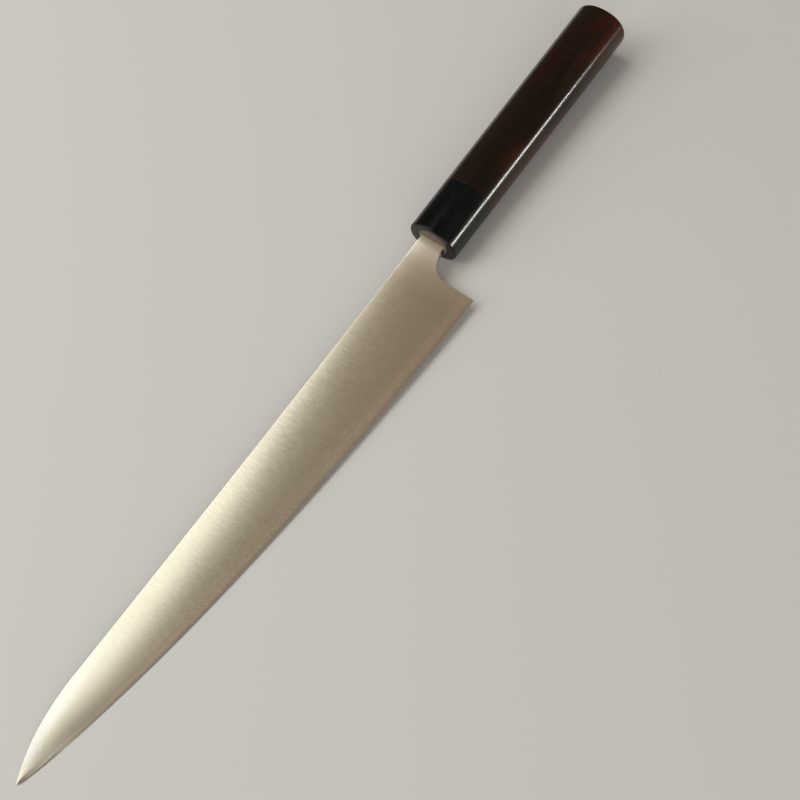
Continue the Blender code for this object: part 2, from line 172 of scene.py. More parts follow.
class KnifeStageLook(PropertyGroup):
    """Floor, light and camera."""

    floor: colour("Floor", "Colour of the floor", (0.90, 0.895, 0.89))
    world: number("Ambient", "Even light from all round", 0.07, 5.0)
    key: number("Key panel", "Large panel over the spine side", 1.51, 50.0)
    top: number("Top panel", "Dim panel right above", 0.26, 50.0)
    heel: number("Heel panel", "Amber panel over the handle", 0.23, 50.0)
    side: number("Side panels", "Two panels beyond the tip", 1.3, 50.0)
    low: number("Low lamp", "Low lamp on the edge side", 2.5, 50.0)
    streak: number("Streak lamp", "Low lamp that only the handle gets", 92.0, 200.0)
    lens: FloatProperty(name="Lens", description="Focal length for a 36 mm sensor", default=46.575)
    face_up: FloatVectorProperty(
        name="Left face", description="Where the blade's left face points",
        default=(-0.0348428, -0.1849304, 0.9821337), size=3, subtype="DIRECTION")


# Outline of the blade

# Along the blade, in metres from the tip: where a change starts, and over what length
TIP_THINNED = (6 * MM, 18 * MM)
CROWN_GROWS = (12 * MM, 36 * MM)
CROWN_FALLS = (125 * MM, 90 * MM)
FULLER_FROM = (14 * MM, 16 * MM)
FULLER_UNTIL = (30 * MM, 26 * MM)
WANDER_GROWS = (0.0, 20 * MM)
# Waves of the weld line: share of its height, length over 2 pi in mm, and start
WANDER = ((0.45, 9.1, 0.6), (0.3, 4.3, 2.1), (0.15, 2.2, 1.3), (0.1, 1.1, 0.0))
CROWDING = 1.3  # above 1, sections stand closer towards the tip
HEEL_STEPS, NOTCH_STEPS = 12, 48


def bezier(points, t):
    """Point of a cubic curve with four control points."""
    a, b, c, d = points
    s = 1 - t
    x = s**3 * a[0] + 3 * s * s * t * b[0] + 3 * s * t * t * c[0] + t**3 * d[0]
    y = s**3 * a[1] + 3 * s * s * t * b[1] + 3 * s * t * t * c[1] + t**3 * d[1]
    return x, y


def height_at(curves, x):
    """Y of a chain of curves that runs steadily along X."""
    curve = next((c for c in curves if x <= c[3][0]), curves[-1])
    low, high = 0.0, 1.0
    for _ in range(30):
        middle = (low + high) / 2
        if bezier(curve, middle)[0] < x:
            low = middle
        else:
            high = middle
    return bezier(curve, (low + high) / 2)[1]


def mix(a, b, share):
    return a + (b - a) * share


def between(first, second, share):
    """Point on the line between two points."""
    return tuple(mix(a, b, share) for a, b in zip(first, second))


def smooth(share):
    share = min(max(share, 0.0), 1.0)
    return share * share * (3 - 2 * share)


def ramp(x, change):
    """Share from 0 to 1 of a change along the blade."""
    start, length_of = change
    return smooth((x - start) / length_of)


def rounding(distance, radius):
    """How far a quarter round lies below the flat it joins."""
    if distance >= radius:
        return 0.0
    return radius - math.sqrt(radius**2 - (radius - distance) ** 2)


class Outline:
    """Side view and thickness of the blade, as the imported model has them."""

    def __init__(self, scene):
        self.b = b = scene.knife_blade
        self.heel_x = b.blade_length
        self.handle_x = b.blade_length + b.neck_length
        self.neck_x = self.handle_x - 2 * scene.knife_handle.seal_proud
        self.tang_x = self.handle_x + b.tang_shoulder
        self.tang_end_x = self.handle_x + b.tang_length
        self.core_halves = {}
        self.neck_middle = (b.spine_at_neck - b.neck_drop) / 2
        self.neck_half = (b.spine_at_neck + b.neck_drop) / 2
        self.spine = self.spine_curves()
        self.edge = self.edge_curves()

    def spine_curves(self):
        b = self.b
        rise, fall = b.spine_crest + b.tip_drop, b.spine_crest - b.spine_at_neck
        reach, back = b.tip_curve, self.neck_x - b.tip_curve
        crest = (reach, b.spine_crest)
        return [
            ((0, -b.tip_drop), (0.27 * reach, 0.72 * rise - b.tip_drop),
             (0.64 * reach, b.spine_crest), crest),
            (crest, (reach + 0.28 * back, b.spine_crest - 0.53 * fall),
             (reach + 0.65 * back, b.spine_at_neck - 0.05 * fall), (self.neck_x, b.spine_at_neck))]

    def edge_curves(self):
        b = self.b
        reach, drop, rest = b.belly_reach, b.belly_drop, self.heel_x - b.belly_reach
        before, after, ahead = 0.4 * reach, 0.24 * rest, 0.36 * rest
        belly = (reach, -drop)
        return [
            ((0, -b.tip_drop), (0.13 * reach, -b.tip_drop - 0.27 * (drop - b.tip_drop)),
             (reach - before, -drop + 0.16 * before), belly),
            (belly, (reach + after, -drop - 0.16 * after),
             (self.heel_x - ahead, -b.heel_drop + 0.028 * ahead), (self.heel_x, -b.heel_drop))]

    def notch_curve(self):
        b = self.b
        climb = b.choil_top - b.neck_drop
        return ((self.heel_x, -b.choil_top), (self.heel_x, -b.neck_drop - 0.42 * climb),
                (self.heel_x + 0.3 * b.neck_length, -b.neck_drop - 0.14 * climb),
                (self.neck_x, -b.neck_drop))

    def crown(self, x):
        """How strongly the flank rounds over to the edge: most in the middle of the blade."""
        return 1.9 + 0.45 * ramp(x, CROWN_GROWS) - 0.75 * ramp(x, CROWN_FALLS)

    def point(self, x):
        """Share of its height and thickness that the rounded point keeps."""
        nose = self.b.tip_nose
        return mix(0.3, 1.0, math.sqrt(1 - max(1 - (x - nose) / (2 * nose), 0.0) ** 2))

    def core_half(self, x):
        """Half thickness of the core, which follows its weld line to the heel."""
        x = min(x, self.heel_x)
        if x not in self.core_halves:
            ground = self.ground(x)
            self.core_halves[x] = self.flank(x, self.weld_height(x, ground), ground) - self.b.lip
        return self.core_halves[x]

    def ends(self, x):
        """Heights of the edge and of the spine at x, which meet in the rounded point."""
        low, high = height_at(self.edge, x), height_at(self.spine, x)
        half = self.point(x) * (high - low) / 2
        return (low + high) / 2 - half, (low + high) / 2 + half

    def ground(self, x):
        """Height of edge, blade and bevel, half thickness of back and shoulder, and the crest.

        At that share of the height the flank is thickest.
        """
        x = min(x, self.heel_x)
        low, high = self.ends(x)
        near = 1 - ramp(x, TIP_THINNED)
        fuller = ramp(x, FULLER_FROM) * (1 - ramp(x, FULLER_UNTIL))
        back = mix(self.b.spine_tip, self.b.spine_heel, (x / self.heel_x) ** 0.6) / 2
        back *= self.point(x) * (1 - 0.27 * near + 0.20 * fuller)
        shoulder = 0.1 * back + self.point(x) * 0.095 * MM * near
        bevel = min(self.b.edge_bevel, 0.2 * (high - low))
        return low, high - low, bevel, back, shoulder, 1 - 0.43 * near

    def flank(self, x, y, ground):
        """Half thickness of the whole blade at a point of its side view."""
        if x > self.tang_x:
            share = (x - self.tang_x) / (self.tang_end_x - self.tang_x)
            return mix(self.b.neck_thickness, self.b.tang_thin, share) / 2
        low, tall, bevel, back, shoulder, crest = ground
        up = min(max((y - low - bevel) / (tall - bevel), 0.0), 1.0)
        convex = mix(shoulder, back, 1 - abs(1 - up / crest) ** self.crown(x))
        run = smooth((x - self.heel_x) / (self.neck_x - self.heel_x))
        return mix(convex, self.b.neck_thickness / 2, run)

    def weld_height(self, x, ground):
        """Height at which the cladding ends and the core shows, with its slow wander."""
        low, tall, bevel, back, shoulder, crest = ground
        core = mix(self.b.core_tip, self.b.core_heel, x / self.heel_x) / 2
        depth = (core * self.point(x) + self.b.lip - shoulder) / (back - shoulder)
        up = crest * (1 - (1 - min(max(depth, 0.0), 1.0)) ** (1 / self.crown(x)))
        wander = sum(share * math.sin(x / MM / wave + start) for share, wave, start in WANDER)
        wander *= self.b.wave * ramp(x, WANDER_GROWS)
        return low + bevel + up * (tall - bevel) + wander

    def stations(self):
        span = self.heel_x - self.b.tip_nose
        count = self.b.columns
        return [self.b.tip_nose + span * (i / count) ** CROWDING for i in range(count + 1)]

    def columns(self):
        """Low end, high end and ground of every section from the tip to the tang's end."""
        made = []
        for x in self.stations():
            ground = self.ground(x)
            made.append(((x, self.weld_height(x, ground)), (x, self.ends(x)[1]), ground))
        heel, _, ground = made[-1]
        corner = (self.heel_x, -self.b.choil_top)
        lows = [between(heel, corner, i / HEEL_STEPS) for i in range(1, HEEL_STEPS)]
        lows += [bezier(self.notch_curve(), i / NOTCH_STEPS) for i in range(NOTCH_STEPS + 1)]
        for i, low in enumerate(lows, 1):
            x = mix(self.heel_x, self.neck_x, i / len(lows))
            made.append((low, (x, height_at(self.spine, x)), ground))
        for x in (self.handle_x, self.tang_x):
            made.append(((x, -self.b.neck_drop), (x, self.b.spine_at_neck), ground))
        for share in (0.0, 0.33, 0.67, 1.0):
            x = mix(self.tang_x + 0.02 * MM, self.tang_end_x, share)
            half = mix(self.b.tang_front, self.b.tang_end, share) / 2
            made.append(((x, self.neck_middle - half), (x, self.neck_middle + half), ground))
        return made


# Mesh helpers

def pose(scene):
    """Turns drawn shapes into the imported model's frame: butt on its mount, left face up."""
    face_up = Vector(scene.knife_stage.face_up).normalized()
    turn = Vector((0, 0, 1)).rotation_difference(face_up).to_matrix()
    b, h = scene.knife_blade, scene.knife_handle
    butt = Vector((b.blade_length + b.neck_length + h.handle_length, 0, 0))
    move = Vector(butt_face["pos_m"]) - turn @ butt
    return Matrix.Translation(move) @ turn.to_4x4()


def add_object(scene, name, data):
    made = bpy.data.objects.new(name, data)
    scene.collection.objects.link(made)
    return made


def add_mesh(scene, name, bm, materials):
    mesh = bpy.data.meshes.new(name)
    bm.to_mesh(mesh)
    bm.free()
    for material in materials:
        mesh.materials.append(material)
    return add_object(scene, name, mesh)


def add_piece(scene, name, bm, materials, node):
    """Lays a finished mesh down, names it, hangs it on the root body and hides its CAD node."""
    bmesh.ops.transform(bm, matrix=pose(scene), verts=bm.verts)
    bmesh.ops.recalc_face_normals(bm, faces=bm.faces)
    piece = add_mesh(scene, name, bm, materials)
    piece.data.shade_smooth()
    piece.data.set_sharp_from_angle(angle=SHARP_ANGLE)
    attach(piece, "root")
    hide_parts(node)


def add_sheet(bm, across, along, place):
    """Adds a grid and moves each of its points to where place(i, j) puts it."""
    made = bmesh.ops.create_grid(bm, x_segments=across, y_segments=along, size=0.5)
    for vert in made["verts"]:
        i = round((vert.co.x + 0.5) * across)
        j = round((vert.co.y + 0.5) * along)
        vert.co = place(i, j)


def finish_blade(bm, outline, depth):
    """Closes a sheet into a solid, maps its side view and gives its rims their material.

    The other side lies at Z = depth(point). Spine, notch and tang are rims.
    """
    made = bmesh.ops.extrude_face_region(bm, geom=bm.faces[:])
    for item in made["geom"]:
        if isinstance(item, bmesh.types.BMVert):
            item.co.z = depth(item.co)
    layer = bm.loops.layers.uv.new(UV_NAME)
    above = bm.verts.layers.float.new(HEIGHT_NAME)
    for vert in bm.verts:
        x = min(max(vert.co.x, 0.0), outline.heel_x)
        vert[above] = vert.co.y - height_at(outline.edge, x)
    bm.normal_update()
    for face in bm.faces:
        for loop in face.loops:
            loop[layer].uv = (loop.vert.co.x * UV_SCALE, loop.vert.co.y * UV_SCALE)
        middle = face.calc_center_median()
        if abs(face.normal.z) < RIM_STEEPNESS and middle.x > outline.b.tip_nose + 0.1 * MM:
            face.material_index = 1


def section(bm, points, x, half_y, half_z, fullness, centre=0.0):
    """Edges of a closed ring: an oval, or a rounded slot where fullness is high."""
    made = bmesh.ops.create_circle(bm, segments=points, radius=1.0)
    power = 2 / fullness
    for vert in made["verts"]:
        angle = math.atan2(vert.co.y, vert.co.x)
        y = math.copysign(abs(math.cos(angle)) ** power, math.cos(angle)) * half_y
        z = math.copysign(abs(math.sin(angle)) ** power, math.sin(angle)) * half_z
        vert.co = Vector((x, centre + y, z))
    return list(dict.fromkeys(edge for vert in made["verts"] for edge in vert.link_edges))


def loft(points, rings, closed=False):
    """Mesh through a row of sections, which is a closed ring or is capped at both ends."""
    bm = bmesh.new()
    loops = [section(bm, points, *ring) for ring in rings]
    pairs = list(zip(loops, loops[1:]))
    if closed:
        pairs.append((loops[-1], loops[0]))
    for first, second in pairs:
        bmesh.ops.bridge_loops(bm, edges=first + second)
    if not closed:
        for loop in (loops[0], loops[-1]):
            bmesh.ops.contextual_create(bm, geom=loop)
    return bm


def arc(radius, steps):
    """Distance from the end face and inset along a quarter round, from the side to the end.

    A first step just before the round keeps its shading off the long faces beside it.
    """
    angles = [math.pi / 2 * k / steps for k in range(steps + 1)]
    round_over = [(radius * (1 - math.sin(a)), radius * (1 - math.cos(a))) for a in angles]
    return [(radius + 0.2 * MM, 0.0)] + round_over


def oval(handle, front, x, inset=0.0):
    """Section of the handle at x, taken in all round by inset."""
    share = (x - front) / handle.handle_length
    half_y = mix(handle.front_width, handle.butt_width, share) / 2 - inset
    half_z = mix(handle.front_depth, handle.butt_depth, share) / 2 - inset
    return x, half_y, half_z, handle.fullness


# Shader helpers

class Net:
    """Short way to add nodes and links to a node tree."""

    def __init__(self, tree):
        self.tree = tree

    def put(self, socket, value):
        """Links another node's socket to this one, or sets a plain value."""
        if isinstance(value, bpy.types.NodeSocket):
            self.tree.links.new(value, socket)
        else:
            socket.default_value = value

    def add(self, kind, inputs=None, **settings):
        """New node of a kind that is given without ShaderNode."""
        node = self.tree.nodes.new(kind if kind.startswith("Node") else "ShaderNode" + kind)
        for key, value in settings.items():
            setattr(node, key, value)
        for key, value in (inputs or {}).items():
            self.put(node.inputs[key], value)
        return node

    def out(self, kind, inputs=None, output=0, **settings):
        """One output of a new node."""
        return self.add(kind, inputs, **settings).outputs[output]

    def math(self, operation, *values, clamp=False):
        inputs = dict(enumerate(values))
        return self.out("Math", inputs, operation=operation, use_clamp=clamp)

    def times(self, first, second, plus=None):
        if plus is None:
            return self.math("MULTIPLY", first, second)
        return self.math("MULTIPLY_ADD", first, second, plus)

    def total(self, start, *terms):
        """Start, plus every socket times its share."""
        for value, share in terms:
            start = self.times(value, share, start)
        return start

    def parts(self, vector):
        return self.add("SeparateXYZ", {0: vector}).outputs

    def joined(self, x, y, z=0.0):
        return self.out("CombineXYZ", {0: x, 1: y, 2: z})

    def placed(self, vector, scale=(1, 1, 1), move=(0, 0, 0), turn=(0, 0, 0)):
        inputs = {"Vector": vector, "Scale": scale, "Location": move, "Rotation": turn}
        return self.out("Mapping", inputs)

    def noise(self, vector, stretch, detail=3, roughness=0.5, distortion=0,
              move=(0, 0, 0), turn=(0, 0, 0), output=0):
        """Clouds, in as many dimensions as the vector is stretched in."""
        kind = "%dD" % len(stretch)
        scale = (*stretch, 1)[:3]
        inputs = {"Vector": self.placed(vector, scale, move, turn), "Scale": 1,
                  "Detail": detail, "Roughness": roughness, "Distortion": distortion}
        return self.out("TexNoise", inputs, output, noise_dimensions=kind)

    def span(self, value, low, high, to_low=0, to_high=1, kind="LINEAR"):
        inputs = {0: value, 1: low, 2: high, 3: to_low, 4: to_high}
        return self.out("MapRange", inputs, interpolation_type=kind)

    def soft(self, *span):
        return self.span(*span, kind="SMOOTHSTEP")

    def blend(self, factor, *colours):
        """Mix of two colours, each a socket or its red, green and blue."""
        first, second = (c if isinstance(c, bpy.types.NodeSocket) else (*c, 1) for c in colours)
        return self.out("Mix", {0: factor, 6: first, 7: second}, 2, data_type="RGBA")

    def layered(self, base, *layers):
        """Base colour with others laid over it, each as far as its factor says."""
        for factor, tint in layers:
            base = self.blend(factor, base, tint)
        return base


def toned(tint, share):
    """A colour made darker or lighter."""
    return [min(c * share, 1.0) for c in tint]


# Effects that materials share, with Place in mm

def grind_marks(net, get):
    """Marks of the grinding belt, which runs from the spine to the edge."""
    across, down, _ = net.parts(get["Place"])
    bend = net.noise(get["Place"], (0.02, 0.05), detail=2)
    leaning = net.math("ADD", across, net.times(down, get["Slant"]))
    place = net.joined(net.math("ADD", leaning, net.times(bend, 0.5)), down)
    fine = net.noise(place, (2.1, 0.10), detail=2)
    short = net.noise(place, (0.95, 0.26), detail=1)
    broad = net.noise(place, (0.30, 0.04), detail=1)
    lines = net.span(net.total(0, (fine, 0.30), (short, 0.55), (broad, 0.15)), 0.30, 0.70)
    stray = net.noise(place, (2.6, 0.16), detail=0, turn=(0, 0, 0.03))
    swell = net.noise(get["Place"], (0.030, 0.04), detail=1)
    return lines, net.span(stray, 0.72, 0.78), swell


def handling_wear(net, get):
    """Hairline scratches in three directions, and faint smudges."""
    made = 0
    for turn, seed in ((0.5, 3), (-0.35, 11), (1.3, 23)):
        stray = net.noise(get["Place"], (0.10, 2.4, 2.4), detail=0,
                          move=(seed, seed, seed), turn=(0, 0, turn))
        made = net.math("MAXIMUM", made, net.span(stray, 0.715, 0.735))
    smudge = net.noise(get["Place"], (0.05, 0.09, 0.09), detail=4, roughness=0.6)
    return net.times(made, get["Amount"]), net.soft(smudge, 0.35, 0.70)


def wood_grain(net, get):
    """Growth rings, pores and fibre of wood whose grain runs along X."""
    drift = net.noise(get["Place"], (0.012, 0.09, 0.09), output="Color")
    drift = net.out("VectorMath", {0: drift, 1: (0.5, 0.5, 0.5)}, operation="SUBTRACT")
    push = net.times(get["Wander"], 9)
    drift = net.out("VectorMath", {0: drift, "Scale": push}, operation="SCALE")
    place = net.out("VectorMath", {0: get["Place"], 1: drift}, operation="ADD")
    _, up, side = net.parts(place)
    radius = net.out("VectorMath", {0: net.joined(0, up, side)}, "Value", operation="LENGTH")
    turns = net.math("DIVIDE", radius, get["Ring Width"])
    wave = net.math("SINE", net.times(turns, 2 * math.pi))
    bands = net.noise(place, (0.01, 0.35, 0.35), roughness=0.55)
    figure = net.math("MULTIPLY_ADD", wave, 0.22, bands, clamp=True)
    thin = net.math("DIVIDE", 1, get["Pore Size"])
    stretch = net.joined(net.math("DIVIDE", 1, get["Pore Length"]), thin, thin)
    tiny = net.out("VectorMath", {0: get["Place"], 1: stretch}, operation="MULTIPLY")
    pores = net.span(net.noise(tiny, (1, 1, 1), detail=1), 0.60, 0.72)
    return figure, pores, net.noise(tiny, (0.15, 1.6, 1.6))


GROUPS = {
    "knife_grind": (grind_marks, {"Slant": 0.02}, ("Lines", "Deep", "Swell")),
    "knife_wear": (handling_wear, {"Amount": 0.5}, ("Hairlines", "Smudge")),
    "knife_grain": (
        wood_grain, {"Ring Width": 2, "Pore Size": 0.25, "Pore Length": 6, "Wander": 1},
        ("Figure", "Pores", "Fibre")),
}


def shared(net, name, place, **amounts):
    """Outputs of a shared node group, which is drawn when it is first used."""
    draw, defaults, outputs = GROUPS[name]
    tree = bpy.data.node_groups.get(name)
    if tree is None:
        tree = bpy.data.node_groups.new(name, "ShaderNodeTree")
        socket = tree.interface.new_socket
        socket("Place", in_out="INPUT", socket_type="NodeSocketVector")
        for label, value in defaults.items():
            socket(label, in_out="INPUT", socket_type="NodeSocketFloat").default_value = value
        for label in outputs:
            socket(label, in_out="OUTPUT", socket_type="NodeSocketFloat")
        inner = Net(tree)
        made = draw(inner, inner.add("NodeGroupInput").outputs)
        inner.add("NodeGroupOutput", dict(zip(outputs, made)))
    inputs = {label.replace("_", " "): value for label, value in amounts.items()}
    return net.add("Group", {"Place": place, **inputs}, node_tree=tree).outputs


def new_material(name, **even):
    """Material, its net, and its shader's inputs, some of which are even all over."""
    made = bpy.data.materials.new(name)
    made.use_nodes = True
    shader = made.node_tree.nodes["Principled BSDF"].inputs
    for label, value in even.items():
        shader[label.replace("_", " ")].default_value = value
    return made, Net(made.node_tree), shader


def dress(net, shader, base, rough, relief, depth):
    """Gives a shader its colour, its roughness and a relief whose depth is in metres."""
    raised = net.out("Bump", {"Height": relief, "Distance": depth, "Strength": 1})
    for label, value in (("Base Color", base), ("Roughness", rough), ("Normal", raised)):
        net.put(shader[label], value)


def knife_place(scene, net):
    """Object coordinates turned back to the handle's line, in mm."""
    back = pose(scene).inverted()
    place = net.out("TexCoord", output="Object")
    place = net.placed(place, move=back.to_translation(), turn=back.to_euler())
    return net.placed(place, (1 / MM, 1 / MM, 1 / MM))


# Materials

STEEL_TIP_HIGHLIGHT, STEEL_NECK_HIGHLIGHT = (0.76, 0.755, 0.72), (0.95, 0.92, 0.83)
STEEL_EDGE_HIGHLIGHT, STEEL_SHADE = (0.86, 0.81, 0.71), (0.40, 0.355, 0.29)
STEEL_BARE, STEEL_SCRATCH = (0.78, 0.76, 0.71), (0.88, 0.86, 0.80)
STEEL_SMUDGE, RIM_SMUDGE = (0.45, 0.42, 0.36), (0.42, 0.39, 0.34)
RIM_DULL, RIM_BRIGHT = (0.60, 0.57, 0.51), (0.72, 0.69, 0.63)
HORN_CUT_LIT_DARK, HORN_CUT_LIT_PALE = (0.018, 0.0165, 0.014), (0.045, 0.040, 0.033)
HORN_HAIRLINE = (0.05, 0.048, 0.045)
WOOD_FLECK, WOOD_PORE = (0.036, 0.020, 0.012), (0.004, 0.0022, 0.0016)
DOWEL_PORE, RESIN_BUBBLE = (0.10, 0.045, 0.02), (0.85, 0.62, 0.40)


def steel_flank(scene, name, tint):
    """Satin steel, ground across the blade, mottled along the weld line, with painted highlights
    at the tip, along the edge near the tip and at the neck.

    Height is above the cutting edge and reach is from the tip, both in mm.
    """
    look = scene.knife_finish
    made, net, shader = new_material(name, Metallic=1, Anisotropic=look.steel_grain)
    scale = (1 / MM / UV_SCALE, 1 / MM / UV_SCALE, 1)
    place = net.placed(net.out("UVMap", uv_map=UV_NAME), scale)
    marks = shared(net, "knife_grind", place)
    wear = shared(net, "knife_wear", place)
    height = net.out("Attribute", output="Fac", attribute_name=HEIGHT_NAME)
    height = net.times(height, 1 / MM)
    reach = net.parts(place)[0]
    away = net.soft(reach, 6, 38)

    clear = net.times(net.span(height, 12, 28, 0.42, 1), net.soft(reach, 190, 250, 1, 0.45))
    lines = net.times(net.math("SUBTRACT", marks["Lines"], 0.5), clear, 0.5)
    base = net.blend(lines, toned(tint, 0.91), toned(tint, 1.07))
    # Painted highlight: the spine side near the tip is paled towards white, standing in for a
    # bright reflection there.
    spine_side = net.soft(net.times(reach, -0.27, height), 1, 5)
    pale = net.times(spine_side, net.soft(reach, 15, 80, 1, 0))
    # Painted highlight: a lighter band along the cutting edge near the tip.
    light = net.times(net.soft(height, 1.8, 5, 0.85, 0), net.soft(reach, 20, 60, 1, 0))
    # Painted highlight: the neck next to the ferrule is brightened towards white, standing in for
    # a brighter reflection there.
    neck = net.soft(reach, 256, 278, 0, 0.85)

    cloud = net.noise(place, (0.30, 0.45), roughness=0.55)
    speck = net.noise(place, (0.8, 0.9), detail=1.5)
    shifted = net.total(height, (speck, 1.2), (cloud, 4.6))
    band = net.times(net.soft(shifted, 3, 5.8), net.soft(shifted, 6.4, 11.5, 1, 0))
    band = net.times(band, net.span(speck, 0.30, 0.70, 0.35, 1))
    band = net.times(band, net.soft(reach, 25, 110, 0.20, 1))

    low = net.soft(net.times(speck, 0.8, height), 0.7, 2, 0.28, 0)
    bare = net.times(net.span(height, 0.30, 0.50, 0.6, 0), away)
    deep = net.times(marks["Deep"], net.span(reach, 235, 258, 0.16, 0.32))
    base = net.layered(
        base, (pale, STEEL_TIP_HIGHLIGHT), (light, STEEL_EDGE_HIGHLIGHT), (neck, STEEL_NECK_HIGHLIGHT),
        (net.times(band, 0.66), look.haze), (net.times(low, away), STEEL_SHADE),
        (bare, STEEL_BARE), (deep, STEEL_SCRATCH), (net.times(wear["Smudge"], 0.05), STEEL_SMUDGE))
    tip = net.soft(reach, 6, 28, 0.06, 0)
    rough = net.total(look.steel_rough - 0.01, (marks["Lines"], 0.02), (band, 0.05), (tip, 1),
                      (bare, -0.08))
    dress(net, shader, base, rough, marks["Swell"], 0.03 * MM)
    tangent = net.out("Tangent", direction_type="UV_MAP", uv_map=UV_NAME)
    net.put(shader["Tangent"], tangent)
    return made


def steel_rim(scene, name):
    """Steel of the spine and the notch, rounded over and polished."""
    made, net, shader = new_material(name, Metallic=1)
    place = knife_place(scene, net)
    wear = shared(net, "knife_wear", place, Amount=0.6)
    lengthwise = net.noise(place, (0.08, 6, 6))
    base = net.layered(RIM_DULL, (lengthwise, RIM_BRIGHT),
                       (net.times(wear["Smudge"], 0.10), RIM_SMUDGE))
    rough = net.total(scene.knife_finish.rim_rough - 0.04, (lengthwise, 0.12),
                      (wear["Hairlines"], 0.15))
    dress(net, shader, base, rough, lengthwise, 0.004 * MM)
    return made


def horn(scene, name):
    """Dark buffalo horn, polished, with faint paler layers along it and a duller cut end whose
    paler colour is partly painted light.
    """
    look = scene.knife_finish
    made, net, shader = new_material(name, Specular_IOR_Level=0.26)
    place = knife_place(scene, net)
    wear = shared(net, "knife_wear", place)
    streaks = net.noise(place, (0.035, 0.30, 0.30), detail=4, roughness=0.55, distortion=0.3)
    layers = net.noise(place, (0.25, 2.2, 2.2))
    clouds = net.soft(net.total(0, (streaks, 0.7), (layers, 0.3)), 0.40, 0.68)
    # The cut end is paler than the sides: partly the horn's own duller end grain, partly painted
    # light on the face towards the tip.
    normal = net.out("NewGeometry", output="True Normal")
    end = net.math("ABSOLUTE", net.parts(normal)[0])
    rings = net.noise(place, (1, 0.9, 0.9), detail=4, roughness=0.6)
    cut = net.blend(rings, HORN_CUT_LIT_DARK, HORN_CUT_LIT_PALE)
    base = net.layered(
        look.horn_dark, (clouds, look.horn_light), (net.span(end, 0.75, 0.97, 0, 0.9), cut),
        (net.times(wear["Hairlines"], 0.15), HORN_HAIRLINE))
    rough = net.total(0.15, (streaks, 0.04), (wear["Smudge"], 0.05), (wear["Hairlines"], 0.10),
                      (net.span(end, 0.75, 0.97, 0, 0.25), 1))
    polish = net.noise(place, (0.2, 3, 3), detail=2)
    relief = net.times(wear["Hairlines"], -0.4, polish)
    dress(net, shader, base, rough, relief, 0.0008 * MM)
    return made


def rosewood(scene, name):
    """Oiled rosewood: dark brown with soft red streaks, darker clouds and fine pores, and painted
    light that makes the spine side lighter.
    """
    look = scene.knife_finish
    made, net, shader = new_material(name, Specular_IOR_Level=0.30)
    knife = knife_place(scene, net)
    place = net.placed(knife, move=(0, 46, -27))
    grain = shared(net, "knife_grain", place, Ring_Width=2.3, Pore_Size=0.17, Pore_Length=3.2)
    wear = shared(net, "knife_wear", place)
    figure = net.soft(grain["Figure"], 0.22, 0.80)
    brown = look.wood_brown
    # Painted light: the spine side of the handle is made a lighter brown, as if lit more strongly
    # there.
    across = net.soft(net.parts(knife)[1], -3, 9)
    cloud = net.noise(place, (0.020, 0.09, 0.09))
    red = net.noise(place, (0.021, 0.10, 0.10), move=(17, 5, 3))
    base = net.layered(
        toned(brown, 0.80), (across, toned(brown, 2.1)),
        (net.times(figure, 0.30), toned(brown, 1.3)),
        (net.soft(cloud, 0.48, 0.70, 0, 0.8), look.wood_dark),
        (net.soft(red, 0.44, 0.66, 0, 0.95), look.wood_red),
        (net.span(grain["Fibre"], 0.42, 0.70, 0, 0.16), WOOD_FLECK),
        (net.times(grain["Pores"], 0.65), WOOD_PORE))
    rough = net.total(0.16, (grain["Pores"], 0.02), (figure, 0.01), (wear["Smudge"], 0.02))
    relief = net.total(0, (grain["Fibre"], 0.1), (grain["Pores"], -1))
    dress(net, shader, base, rough, relief, 0.0003 * MM)
    return made


def pale_wood(scene, name):
    """End grain of the pale dowel, warmed by oil."""
    look = scene.knife_finish
    made, net, shader = new_material(name, Specular_IOR_Level=0.3)
    place = net.placed(knife_place(scene, net), move=(0, 9, 6))
    grain = shared(net, "knife_grain", place, Ring_Width=1.1, Pore_Size=0.14, Pore_Length=4,
                   Wander=0.4)
    figure = net.soft(grain["Figure"], 0.30, 0.80)
    base = net.layered(look.dowel_pale, (figure, look.dowel_dark),
                       (net.times(grain["Pores"], 0.55), DOWEL_PORE))
    rough = net.times(grain["Fibre"], 0.25, 0.42)
    dress(net, shader, base, rough, net.math("SUBTRACT", 0, grain["Pores"]), 0.03 * MM)
    return made


def resin(scene, name):
    """Amber resin with a few small bubbles and a wiped, uneven surface."""
    tint = scene.knife_finish.resin
    made, net, shader = new_material(name, Subsurface_Weight=0.15, Subsurface_Scale=1 * MM,
                                     Subsurface_Radius=(1, 0.45, 0.2))
    place = knife_place(scene, net)
    cloud = net.noise(place, (1.2, 1.2, 1.2))
    cells = net.out("TexVoronoi", {"Vector": place, "Scale": 1.6}, "Distance")
    base = net.layered(toned(tint, 0.72), (cloud, toned(tint, 1.25)),
                       (net.span(cells, 0.06, 0.12, 0.6, 0), RESIN_BUBBLE))
    dress(net, shader, base, net.times(cloud, 0.25, 0.18), cloud, 0.06 * MM)
    return made


# Pieces

